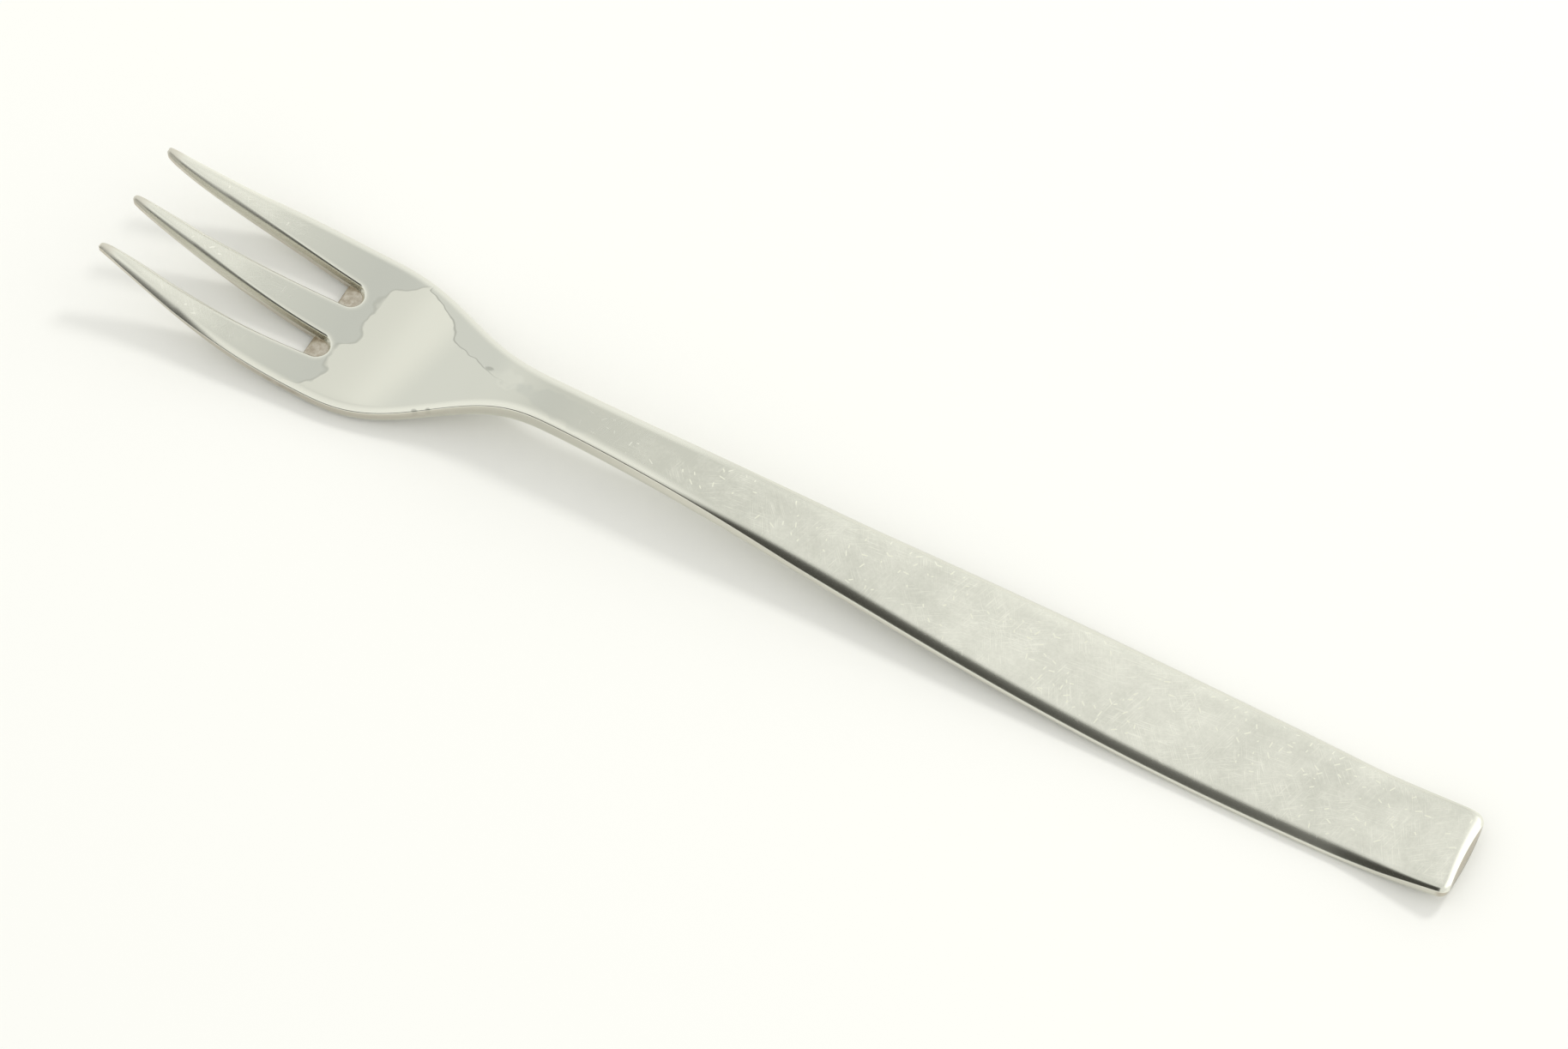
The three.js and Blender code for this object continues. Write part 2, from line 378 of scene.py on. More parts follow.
# Height of the flat underside's rounded edges, no larger than the widest round that fits
def under_edge(station, outer, slot, widest):
    blank_edge = np.minimum(outer, station)
    open_slot = np.where(station < open_at, NEAR_REACH, slot)
    size = np.minimum(np.where(open_slot < blank_edge, SLOT_UNDER_ROUND, UNDER_ROUND), widest)
    return size * quarter_round(1 - np.minimum(open_slot, blank_edge) / size)


# The flat blank before pressing: rows of points over the face and the underside at every station
def blank_rows():
    s = station_list()
    strips = strip_edges(s)
    parts = []
    for index, (low, high) in enumerate(strips):
        parts.append(strip_columns(s, low, high, index > 0, index < 2))
    columns = np.concatenate(parts, axis=1)
    station = np.broadcast_to(s[:, None], columns.shape)
    outer = edge_distance(s, columns, strips, False)
    slot = edge_distance(s, columns, strips, True)
    outer_roll = rolled_edge(station, False)
    slot_roll = rolled_edge(station, True)

    under = under_edge(station, outer, slot, outer_roll.full)
    face = thickness(station) - face_drop(station, columns)
    face = face - roll_drop(outer, outer_roll) - roll_drop(slot, slot_roll)
    face = np.maximum(face, under + LEAST_WALL)

    at_end = np.maximum(0, 1 - station / END_BOW_LENGTH) ** 2
    x = cad_low.x + station + END_BOW * (columns / (HANDLE_END_WIDTH / 2)) ** 2 * at_end
    set_back = END_SET_BACK * np.maximum(0, 1 - (columns / half_width(0)) ** 2) * at_end
    upper = np.stack([x + set_back, columns, face], axis=-1)
    lower = np.stack([x, columns, under], axis=-1)
    distance = np.minimum(np.minimum(outer, slot), station)
    flank_width = slot_roll.soft * (1 - slot_roll.turning)
    flank = np.clip(1 - (slot - slot_roll.crisp) / flank_width, 0, 1)
    return s, upper, lower, distance, flank


# Floors of the slots between the strips: two points at each station, from the face down to the underside
def with_slot_floors(s, upper, lower, distance, flank):
    count = upper.shape[1] // 3
    depth = slot_depth(s)[:, None, None]
    upper_parts, lower_parts, distance_parts, flank_parts, floors = [], [], [], [], []
    for strip in range(3):
        part = slice(strip * count, (strip + 1) * count)
        if strip > 0:
            brink = slice(part.start - 1, part.start + 1)
            sides = upper[:, brink]
            bases = lower[:, brink]
            floors.append(strip * (count + 2) - 2)
            upper_parts.append(sides + (bases - sides) * depth)
            lower_parts.append(bases)
            distance_parts.append(np.zeros(bases.shape[:2]))
            flank_parts.append(flank[:, brink])
        upper_parts.append(upper[:, part])
        lower_parts.append(lower[:, part])
        distance_parts.append(distance[:, part])
        flank_parts.append(flank[:, part])
    collected = (upper_parts, lower_parts, distance_parts, flank_parts)
    return [np.concatenate(parts, axis=1) for parts in collected], floors


# Faces of the closed skin: over and beneath, along both long sides, and across the handle's end
def skin_faces(rows, row_length, floors, is_open):
    last = row_length - 1
    faces = []

    def over(row, column):
        return row * row_length + column

    def beneath(row, column):
        return (rows + row) * row_length + column

    for row in range(rows - 1):
        after = row + 1
        for column in range(last):
            if column in floors and is_open[row] and is_open[after]:
                continue
            beside = column + 1
            faces.append((over(row, column), over(after, column), over(after, beside), over(row, beside)))
            faces.append((
                beneath(row, column), beneath(row, beside), beneath(after, beside), beneath(after, column),
            ))
        faces.append((beneath(row, 0), beneath(after, 0), over(after, 0), over(row, 0)))
        faces.append((beneath(after, last), beneath(row, last), over(row, last), over(after, last)))
    for column in range(last):
        faces.append((beneath(0, column + 1), beneath(0, column), over(0, column), over(0, column + 1)))
    return faces


def add_attribute(mesh, name, upper, lower):
    values = np.concatenate([upper.ravel(), lower.ravel()]).astype(np.float32)
    mesh.attributes.new(name, "FLOAT", "POINT").data.foreach_set("value", values)


# Closed skin of the blank, with each point's distance from the edge, whether it is on the face (1) or the
# underside (0), and whether it is on the flank beside a slot
def make_blank():
    s, *rows_of_points = blank_rows()
    (upper, lower, distance, flank), floors = with_slot_floors(s, *rows_of_points)
    rows, row_length = upper.shape[:2]
    points = np.concatenate([upper.reshape(-1, 3), lower.reshape(-1, 3)])
    mesh = bpy.data.meshes.new("fork_blank")
    mesh.from_pydata(points.tolist(), [], skin_faces(rows, row_length, floors, slot_depth(s) >= 1))

    upper_side = np.ones_like(distance)
    for floor in floors:
        upper_side[:, floor:floor + 2] -= FLOOR_SHADE * flank[:, floor:floor + 2]
    add_attribute(mesh, "edge_distance", distance, distance)
    add_attribute(mesh, "face_side", upper_side, np.zeros_like(distance))
    add_attribute(mesh, "slot_flank", flank, np.zeros_like(flank))

    work = bmesh.new()
    work.from_mesh(mesh)
    bmesh.ops.remove_doubles(work, verts=work.verts, dist=MERGE_DISTANCE)
    bmesh.ops.dissolve_degenerate(work, dist=SLIVER, edges=work.edges)
    bmesh.ops.recalc_face_normals(work, faces=work.faces)
    work.to_mesh(mesh)
    work.free()
    return mesh


# Small helpers for node trees
def new_node(tree, kind, **settings):
    node = tree.nodes.new(kind)
    for name, value in settings.items():
        setattr(node, name, value)
    return node


def plug(tree, socket, value):
    if isinstance(value, bpy.types.NodeSocket):
        tree.links.new(value, socket)
    else:
        socket.default_value = value


def calculate(tree, operation, first, *others, clamp=False):
    result = first
    for other in others:
        node = new_node(tree, "ShaderNodeMath", operation=operation, use_clamp=clamp)
        plug(tree, node.inputs[0], result)
        plug(tree, node.inputs[1], other)
        result = node.outputs[0]
    return result


def total(tree, *values):
    return calculate(tree, "ADD", *values)


def less(tree, first, second):
    return calculate(tree, "SUBTRACT", first, second)


def product(tree, *values):
    return calculate(tree, "MULTIPLY", *values)


def divide(tree, first, second):
    return calculate(tree, "DIVIDE", first, second)


def power(tree, value, exponent):
    return calculate(tree, "POWER", value, exponent)


def greatest(tree, *values):
    return calculate(tree, "MAXIMUM", *values)


def single(tree, operation, value):
    node = new_node(tree, "ShaderNodeMath", operation=operation)
    plug(tree, node.inputs[0], value)
    return node.outputs[0]


def map_range(tree, value, low, high, to_low, to_high, interpolation="LINEAR"):
    node = new_node(tree, "ShaderNodeMapRange", interpolation_type=interpolation)
    for index, entry in enumerate((value, low, high, to_low, to_high)):
        plug(tree, node.inputs[index], entry)
    return node.outputs[0]


def fade_in(tree, value, low, high, share=1.0):
    return map_range(tree, value, low, high, 0.0, share, "SMOOTHSTEP")


def fade_out(tree, value, low, high, share=1.0):
    return map_range(tree, value, low, high, share, 0.0, "SMOOTHSTEP")


def split_vector(tree, vector):
    node = new_node(tree, "ShaderNodeSeparateXYZ")
    plug(tree, node.inputs[0], vector)
    return node.outputs


# The press: lifts a flat blank to the fork's side profile
PRESS_SIZES = {
    "Handle End": cad_low.x,
    "Fork Length": FORK_LENGTH,
    "Head Width": HEAD_WIDTH,
    "End Curl": END_CURL,
    "End Lift": END_LIFT,
    "Climb From": CLIMB_FROM,
    "Climb To": CLIMB_TO,
    "Neck Rise": NECK_RISE,
    "Neck At": NECK_AT,
    "Fall From": FALL_FROM,
    "Belly At": BELLY_AT,
    "Slots At": SLOT_AT,
    "Bend From": BEND_FROM,
    "Bend Length": BEND_LENGTH,
    "Tip Rise": TIP_RISE,
    "Bowl Dish": BOWL_DISH,
}


# The curve of bend_run, in nodes
def press_bend(tree, length, bend):
    share = map_range(tree, divide(tree, length, bend), 0.0, 1.0, 0.0, 1.0)
    cubed = power(tree, share, 3.0)
    half_fourth = product(tree, power(tree, share, 4.0), 0.5)
    curve = product(tree, less(tree, cubed, half_fourth), bend)
    straight = greatest(tree, less(tree, length, bend), 0.0)
    return total(tree, curve, straight)


# How far the press lifts the blank at a place, from the table up
def press_lift(tree, place, entry):
    station = less(tree, place["X"], entry["Handle End"])
    neck_rise = entry["Neck Rise"]
    belly_at = entry["Belly At"]
    bend_from = entry["Bend From"]
    bend_length = entry["Bend Length"]

    curl = map_range(tree, station, 0.0, entry["End Curl"], 1.0, 0.0)
    curl = product(tree, power(tree, curl, 2.0), entry["End Lift"])
    climb = map_range(tree, station, entry["Climb From"], entry["Climb To"], 0.0, neck_rise, "SMOOTHSTEP")
    fall = map_range(tree, station, entry["Fall From"], belly_at, 0.0, neck_rise, "SMOOTHERSTEP")

    bent = press_bend(tree, less(tree, station, bend_from), bend_length)
    whole = press_bend(tree, less(tree, entry["Fork Length"], bend_from), bend_length)
    sweep = product(tree, divide(tree, bent, whole), entry["Tip Rise"])

    deep = map_range(tree, station, entry["Neck At"], belly_at, 0.0, entry["Bowl Dish"], "SMOOTHERSTEP")
    shallow = fade_out(tree, station, entry["Slots At"], entry["Fork Length"])
    across = divide(tree, place["Y"], product(tree, entry["Head Width"], 0.5))
    dish = product(tree, deep, shallow, product(tree, across, across))
    return total(tree, curl, less(tree, climb, fall), total(tree, sweep, dish))


def press_tree(steel):
    tree = bpy.data.node_groups.new("fork_press", "GeometryNodeTree")
    tree.interface.new_socket("Blank", in_out="INPUT", socket_type="NodeSocketGeometry")
    for name in PRESS_SIZES:
        tree.interface.new_socket(name, in_out="INPUT", socket_type="NodeSocketFloat")
    tree.interface.new_socket("Fork", in_out="OUTPUT", socket_type="NodeSocketGeometry")
    entry = new_node(tree, "NodeGroupInput").outputs
    place = split_vector(tree, new_node(tree, "GeometryNodeInputPosition").outputs[0])
    offset = new_node(tree, "ShaderNodeCombineXYZ")
    plug(tree, offset.inputs["Z"], press_lift(tree, place, entry))
    pressed = new_node(tree, "GeometryNodeSetPosition")
    plug(tree, pressed.inputs["Geometry"], entry["Blank"])
    plug(tree, pressed.inputs["Offset"], offset.outputs[0])
    realized = new_node(tree, "GeometryNodeRealizeInstances")
    plug(tree, realized.inputs[0], pressed.outputs[0])
    finished = new_node(tree, "GeometryNodeSetMaterial")
    plug(tree, finished.inputs["Geometry"], realized.outputs[0])
    finished.inputs["Material"].default_value = steel
    plug(tree, new_node(tree, "NodeGroupOutput").inputs[0], finished.outputs[0])
    return tree


def make_fork(steel):
    blank = bpy.data.objects.new("fork_blank", make_blank())
    bpy.context.collection.objects.link(blank)
    press = blank.modifiers.new("press", "NODES")
    press.node_group = press_tree(steel)
    for item in press.node_group.interface.items_tree:
        if item.in_out == "INPUT" and item.name in PRESS_SIZES:
            press[item.identifier] = PRESS_SIZES[item.name]
    evaluated = blank.evaluated_get(bpy.context.evaluated_depsgraph_get())
    mesh = bpy.data.meshes.new_from_object(evaluated)
    bpy.data.objects.remove(blank)
    mesh.name = "steel_fork"
    mesh.shade_smooth()
    mesh.set_sharp_from_angle(angle=SHARP_ANGLE)
    fork = bpy.data.objects.new("steel_fork", mesh)
    bpy.context.collection.objects.link(fork)
    return fork


# Finish of the steel. Patterns lie in plan, in millimetres of the fork's own frame.
POLISHED_STEEL = (0.71, 0.715, 0.64, 1)
# Lighter steel for worn haze, which also carries painted sheen, painted reflection and painted highlights
WORN_AND_SHEEN_STEEL = (1.0, 1.0, 0.91, 1)
# Darker steel for painted reflection shade beyond the bright patch, and for a dark spot on the neck
REFLECTION_SHADE_AND_SPOT_STEEL = (0.62, 0.635, 0.585, 1)
# Darker steel for thin lines along the painted reflection borders, and for small stains
DARK_LINE_AND_STAIN_STEEL = (0.40, 0.41, 0.37, 1)
# Tan steel: on the walls, a painted reflection of the shaded table
WALL_STEEL = (0.62, 0.58, 0.50, 1)
# Brown steel for painted shade in the slot roots and on the end wall
PAINTED_SHADE_STEEL = (0.40, 0.35, 0.27, 1)
POLISHED_ROUGHNESS = 0.15
SATIN_ROUGHNESS = 0.31
SCRATCH_ROUGHNESS = 0.45
SCUFF_ROUGHNESS = 0.25
TINE_ROUGHNESS = 0.12

# Noise patterns: scale, detail and roughness. Most values of a noise lie between the swing levels.
CLOUDS = (0.2, 5.0, 0.65)
GRAIN = (2.4, 3.0, 0.7)
WAVER = (0.45, 1.0, 0.5)
SLOT_SHADE_MOTTLE = (1.3, 4.0, 0.65)
CLUSTERS = (0.14, 2.0, 0.5)
HATCH = (1.0, 1.0, 0.5)
SWING_LEVELS = (0.3, 0.7)

# Scratches: crossed hatching in patches, and short nicks in clusters.
# A pair of levels says between which values of its noise the pattern comes in.
HATCH_ANGLES = (-62, -48, 33, 74, 8)
HATCH_SIZE = (3.2, 0.1)
HATCH_PATCH_SIZE = (9.0, 6.0)
HATCH_SHIFT = (7.3, 11.9)
HATCH_LEVELS = (0.60, 0.78)
HATCH_PATCH_LEVELS = (0.42, 0.68)
HATCH_STRENGTH = 0.5
NICK_CELL = 1.3
NICK_LENGTH = 0.7
NICK_SHORTEST = 0.35
NICK_WIDTH = 0.17
NICK_ENDS = (0.6, 1.0)
NICK_SIDES = (0.5, 1.0)
NICK_CLUSTER_LEVELS = (0.42, 0.62)
NICKS_FEWEST = 0.06
NICKS_MOST = 0.7
TINE_SCRATCHES = 0.5

# How much lighter the face is along the fork, from worn haze and a painted sheen: station in millimetres,
# then share
WEAR_AND_SHEEN_ALONG = (
    (0, 0.42), (12, 0.42), (20, 0.36), (32, 0.52), (52, 0.56), (66, 0.4), (82, 0.3), (98, 0.08),
    (112, 0.0), (120, 0.2), (128, 0.4), (142, 0.4), (148, 0.25), (158, 0.45), (170, 0.6),
)

# Wear, painted reflection and painted highlight of other places, as shares, and how much the wear varies
CLOUD_DEPTH = 0.22
GRAIN_DEPTH = 0.1
WALL_REFLECTION = 0.85
BACK_WEAR = 0.3
BACK_HATCH = 0.35
END_WEAR_AND_HIGHLIGHT = 0.5
RIM_WEAR_AND_HIGHLIGHT = 0.62
PALE_REFLECTION = 0.4

# Borders of the painted bright reflection patch in the bowl: place across the fork, then station, in
# millimetres
TINE_BORDER = (
    (-9.5, 136.0), (-8.1, 137.7), (-6.2, 140.3), (-4.0, 141.0), (0.0, 140.6), (1.8, 141.0),
    (2.6, 142.4), (5.0, 141.9), (7.6, 141.8), (9.1, 143.1), (9.8, 145.1),
)
NECK_BORDER = (
    (-8.6, 136.2), (-7.1, 133.3), (-5.3, 131.3), (-3.5, 129.9), (-2.3, 127.4), (-1.7, 125.8),
    (-0.8, 124.3), (0.4, 120.0), (2.0, 116.0),
)
BORDER_WAVER = 0.35
TINE_BORDER_EDGE = (-0.15, 0.25)
NECK_BORDER_EDGE = (-0.2, 0.3)
FAR_HALF = (-1.5, 1.0)
TINE_LINE_HALF = 0.3
NECK_LINE_HALF = 0.28

# Painted reflection shade, a dark spot, darker lines and stains, as shares
ROOT_REFLECTION_SHADE = 0.8
NECK_REFLECTION_SHADE = 0.75
SHEEN_EDGE_SHADE = 0.5
SHEEN_EDGE_LEAST = 0.1
DARK_SPOT_DEPTH = 0.42
DARK_LEAST = 0.2
TINE_LINE_DARKNESS = 0.45
NECK_LINE_DARKNESS = 0.75
SPOT_STAIN = 0.65

# Marks at the neck and the bowl's rim, a painted pale reflection, a dark spot and small stains: station and
# place across the fork, then half sizes, in millimetres
PALE_SPOT = ((120.7, -0.4), (2.5, 2.0))
DARK_SPOT = ((111.5, 0.3), (9.0, 1.9))
STAIN_SPOTS = (((123.7, -1.1), (0.8, 0.35)), ((129.2, 6.85), (0.5, 0.3)), ((127.7, 6.2), (0.4, 0.3)))
SPOT_WAVER = 0.6

# Shares of a mark's size between which it fades
PALE_EDGE = (0.5, 1.0)
DARK_EDGE = (0.8, 1.0)
STAIN_EDGE = (0.3, 1.0)

# Tan places, on the walls a painted reflection of the shaded table, and painted shade in the slot roots and
# on the end wall, as shares
BACK_TAN = 0.4
FLANK_TAN = 0.4
HANDLE_TAN = 0.4
TIP_TAN = 0.5
END_WALL_SHADE = 0.45
SLOT_SHADE_MOTTLE_LEVELS = (0.35, 0.65)
SLOT_SHADE_MOTTLE_SHARES = (0.1, 0.9)

# Stations in millimetres between which a finish comes in or fades out
HANDLE_FADE = (96.0, 116.0)
SCRATCHED_TINES = (146.0, 156.0)
SOFT_TINES = (144.0, 156.0)
SCUFFED_TIP = (168.0, 169.6)
END_WALL = (1.0, 2.0)
END_WEAR_AND_HIGHLIGHT_FADE = (0.5, 2.4)
RIM_WEAR_AND_HIGHLIGHT_START = (84.0, 100.0)
HEAD_START = (118.0, 124.0)
ROOT_REFLECTION_SHADE_FADE = (143.0, 158.0)
SHEEN_EDGE_START = (110.0, 124.0)
SHEEN_EDGE_FADE = (129.0, 134.0)
DARK_START = (106.0, 118.0)
TAN_START = (118.0, 142.0)
SLOT_SHADE_START = (142.0, 144.0)
SLOT_SHADE_FADE = (146.0, 150.0)

# How far a slanted fade moves along the fork for each millimetre across it
SHEEN_EDGE_SLANT = 0.26
END_WEAR_AND_HIGHLIGHT_SLANT = -0.13

# Distances from the edge between which a finish comes in or fades out
FACE_INSIDE = (0.2 * MM, 1.2 * MM)
SATIN_INSIDE = (0.0, 1.3 * MM)
SCRATCHES_INSIDE = (0.6 * MM, 1.6 * MM)
RIM_WIDTH = (0.4 * MM, 1.3 * MM)

# Levels from the underside (0) up the wall to the face (1)
BACK_ONLY = (0.0, 0.05)
OFF_BACK = (0.05, 0.3)
UP_THE_WALL = (0.0, 0.3)
WALL_TOP = (0.97, 1.0)
FACE_ONLY = (0.9, 1.0)
RIM_MARKS = (0.3, 0.55)
SLOT_BOTTOM = (0.1, 0.25)
SLOT_TOP = (0.4, 0.9)

middle_station = FORK_LENGTH / MM / 2


def mix_value(tree, factor, first, second):
    node = new_node(tree, "ShaderNodeMix", data_type="FLOAT")
    plug(tree, node.inputs["Factor"], factor)
    plug(tree, node.inputs["A"], first)
    plug(tree, node.inputs["B"], second)
    return node.outputs["Result"]


def mix_colour(tree, factor, first, second):
    node = new_node(tree, "ShaderNodeMix", data_type="RGBA")
    plug(tree, node.inputs[0], factor)
    plug(tree, node.inputs[6], first)
    plug(tree, node.inputs[7], second)
    return node.outputs[2]


def read_attribute(tree, name):
    return new_node(tree, "ShaderNodeAttribute", attribute_name=name).outputs["Fac"]


# Plan coordinates moved to a place, turned by an angle in degrees, and measured in a size along and across
def turned(tree, plan, angle, size, place):
    node = new_node(tree, "ShaderNodeMapping", vector_type="TEXTURE")
    plug(tree, node.inputs["Vector"], plan)
    node.inputs["Location"].default_value = (*place, 0)
    node.inputs["Rotation"].default_value = (0, 0, math.radians(angle))
    node.inputs["Scale"].default_value = (*size, 1)
    return node.outputs[0]


def noise(tree, vector, scale, detail, roughness):
    node = new_node(tree, "ShaderNodeTexNoise", noise_dimensions="2D")
    plug(tree, node.inputs["Vector"], vector)
    node.inputs["Scale"].default_value = scale
    node.inputs["Detail"].default_value = detail
    node.inputs["Roughness"].default_value = roughness
    return node.outputs["Fac"]


# A noise that swings to both sides of nothing
def swing(tree, plan, pattern, depth):
    return map_range(tree, noise(tree, plan, *pattern), *SWING_LEVELS, -depth, depth)


def curve_through(tree, value, points):
    low = min(point[0] for point in points)
    high = max(point[0] for point in points)
    floor = min(point[1] for point in points)
    top = max(point[1] for point in points)
    node = new_node(tree, "ShaderNodeFloatCurve")
    curve = node.mapping.curves[0]
    while len(curve.points) < len(points):
        curve.points.new(0.5, 0.5)
    for spot, (place, level) in zip(curve.points, sorted(points)):
        spot.location = ((place - low) / (high - low), (level - floor) / (top - floor))
    node.mapping.update()
    plug(tree, node.inputs["Value"], map_range(tree, value, low, high, 0.0, 1.0))
    return map_range(tree, node.outputs[0], 0.0, 1.0, floor, top)


def ridge(tree, value, half):
    return fade_out(tree, single(tree, "ABSOLUTE", value), 0.0, half)


# Distance from a spot in plan, with a wavering rim, as a share of its size
def from_spot(tree, skin, spot):
    (station, across), half_size = spot
    length = new_node(tree, "ShaderNodeVectorMath", operation="LENGTH")
    plug(tree, length.inputs[0], turned(tree, skin.plan, 0, half_size, (station - middle_station, across)))
    return total(tree, length.outputs["Value"], product(tree, skin.waver, SPOT_WAVER))


def hatching(tree, plan):
    layers = []
    for number, angle in enumerate(HATCH_ANGLES):
        place = (HATCH_SHIFT[0] * number, HATCH_SHIFT[1] * number)
        lines = noise(tree, turned(tree, plan, angle, HATCH_SIZE, place), *HATCH)
        patch = noise(tree, turned(tree, plan, angle, HATCH_PATCH_SIZE, place), *HATCH)
        lines = fade_in(tree, lines, *HATCH_LEVELS)
        layers.append(product(tree, lines, fade_in(tree, patch, *HATCH_PATCH_LEVELS)))
    return greatest(tree, *layers)


# Short nicks, each in a cell of its own and turned its own way
def nicks(tree, plan):
    cells = new_node(tree, "ShaderNodeTexVoronoi", voronoi_dimensions="2D", feature="F1")
    plug(tree, cells.inputs["Vector"], plan)
    cells.inputs["Scale"].default_value = 1 / NICK_CELL
    chance = new_node(tree, "ShaderNodeSeparateColor")
    plug(tree, chance.inputs[0], cells.outputs["Color"])
    from_centre = new_node(tree, "ShaderNodeVectorMath", operation="SUBTRACT")
    plug(tree, from_centre.inputs[0], plan)
    plug(tree, from_centre.inputs[1], cells.outputs["Position"])
    spin = new_node(tree, "ShaderNodeVectorRotate", rotation_type="Z_AXIS")
    plug(tree, spin.inputs["Vector"], from_centre.outputs[0])
    plug(tree, spin.inputs["Angle"], product(tree, chance.outputs["Red"], math.pi))
    spun = split_vector(tree, spin.outputs[0])
    half_length = product(tree, total(tree, chance.outputs["Blue"], NICK_SHORTEST), NICK_LENGTH / 2)
    along = divide(tree, single(tree, "ABSOLUTE", spun["X"]), half_length)
    across = divide(tree, single(tree, "ABSOLUTE", spun["Y"]), NICK_WIDTH / 2)
    lengthwise = map_range(tree, along, *NICK_ENDS, 1.0, 0.0)
    crosswise = map_range(tree, across, *NICK_SIDES, 1.0, 0.0)
    clusters = noise(tree, plan, *CLUSTERS)
    crowd = map_range(tree, clusters, *NICK_CLUSTER_LEVELS, NICKS_FEWEST, NICKS_MOST, "SMOOTHSTEP")
    chosen = calculate(tree, "LESS_THAN", chance.outputs["Green"], crowd)
    return product(tree, lengthwise, crosswise, chosen)


# Places on the skin in millimetres, its own attributes, and the masks that several finishes share
def read_skin(tree):
    in_mm = new_node(tree, "ShaderNodeMapping", vector_type="POINT")
    plug(tree, in_mm.inputs["Vector"], new_node(tree, "ShaderNodeTexCoord").outputs["Object"])
    in_mm.inputs["Scale"].default_value = (1 / MM, 1 / MM, 0)
    skin = SimpleNamespace(plan=in_mm.outputs[0])
    place = split_vector(tree, skin.plan)
    skin.station = total(tree, place["X"], middle_station)
    skin.across = place["Y"]
    skin.face = read_attribute(tree, "face_side")
    skin.edge = read_attribute(tree, "edge_distance")
    skin.flank = read_attribute(tree, "slot_flank")
    skin.waver = swing(tree, skin.plan, WAVER, BORDER_WAVER)

    skin.upper = product(tree, fade_in(tree, skin.face, *FACE_ONLY), less(tree, 1.0, skin.flank))
    skin.on_face = product(tree, fade_in(tree, skin.edge, *FACE_INSIDE), skin.upper)
    skin.below_face = map_range(tree, skin.face, *WALL_TOP, 1.0, 0.0)
    skin.handle = fade_out(tree, skin.station, *HANDLE_FADE)
    skin.at_end = map_range(tree, skin.station, *END_WALL, 1.0, 0.0)
    skin.at_tip = fade_in(tree, skin.station, *SCUFFED_TIP)
    tines = fade_in(tree, skin.station, *SCRATCHED_TINES, TINE_SCRATCHES)
    skin.scratched = greatest(tree, skin.handle, tines)
    return skin


def slanted(tree, skin, slant):
    return less(tree, skin.station, product(tree, skin.across, slant))


def scratches(tree, skin, hatch):
    lines = total(tree, product(tree, hatch, HATCH_STRENGTH), nicks(tree, skin.plan))
    clear_of_edge = fade_in(tree, skin.edge, *SCRATCHES_INSIDE)
    return product(tree, lines, skin.scratched, skin.on_face, clear_of_edge)


# Lighter steel: worn haze with a painted sheen on the face, a painted reflection on the handle's walls,
# worn haze on the back, rubbed places with a painted highlight at the end and the rim, and a painted pale
# reflection at the neck
def wear_and_sheen(tree, skin, hatch, lines):
    clouds = swing(tree, skin.plan, CLOUDS, CLOUD_DEPTH)
    mottle = total(tree, clouds, swing(tree, skin.plan, GRAIN, GRAIN_DEPTH))
    # The face: worn haze, with a painted sheen that changes along the fork
    along = curve_through(tree, skin.station, WEAR_AND_SHEEN_ALONG)
    face = total(tree, along, product(tree, mottle, skin.scratched), lines)
    face = product(tree, face, skin.on_face)
    # The handle's walls are painted lighter: a painted reflection of the lit table
    wall = map_range(tree, skin.face, *OFF_BACK, 0.0, WALL_REFLECTION)
    wall = product(tree, wall, skin.below_face, skin.handle)
    back = total(tree, mottle, product(tree, hatch, BACK_HATCH), BACK_WEAR)
    back = product(tree, back, map_range(tree, skin.face, *BACK_ONLY, 1.0, 0.0))

    # The end: worn, and painted lighter as a highlight on its bevel
    end = fade_out(tree, slanted(tree, skin, END_WEAR_AND_HIGHLIGHT_SLANT), *END_WEAR_AND_HIGHLIGHT_FADE, END_WEAR_AND_HIGHLIGHT)
    end = product(tree, end, skin.upper)
    # A painted pale reflection near the neck
    pale = fade_out(tree, from_spot(tree, skin, PALE_SPOT), *PALE_EDGE, PALE_REFLECTION)
    pale = product(tree, pale, skin.on_face)
    # Along the edges of the neck and head: worn, and a painted highlight on the rolled bevel
    rim = map_range(tree, skin.station, *RIM_WEAR_AND_HIGHLIGHT_START, 0.0, RIM_WEAR_AND_HIGHLIGHT)
    rim = product(tree, rim, skin.upper, fade_out(tree, skin.edge, *RIM_WIDTH))
    lightened = greatest(tree, face, wall, back, end, pale)
    return calculate(tree, "MAXIMUM", lightened, rim, clamp=True)


# How far a point is past the wavy borders of the painted bright reflection patch in the bowl, and where the
# far border shows
def reflection_borders(tree, skin):
    past_tines = less(tree, skin.station, curve_through(tree, skin.across, TINE_BORDER))
    past_neck = less(tree, curve_through(tree, skin.across, NECK_BORDER), skin.station)
    far_half = fade_out(tree, skin.across, *FAR_HALF)
    return SimpleNamespace(
        past_tines=total(tree, past_tines, skin.waver),
        past_neck=total(tree, past_neck, skin.waver),
        far_bowl=product(tree, far_half, fade_in(tree, skin.station, *HEAD_START)),
    )


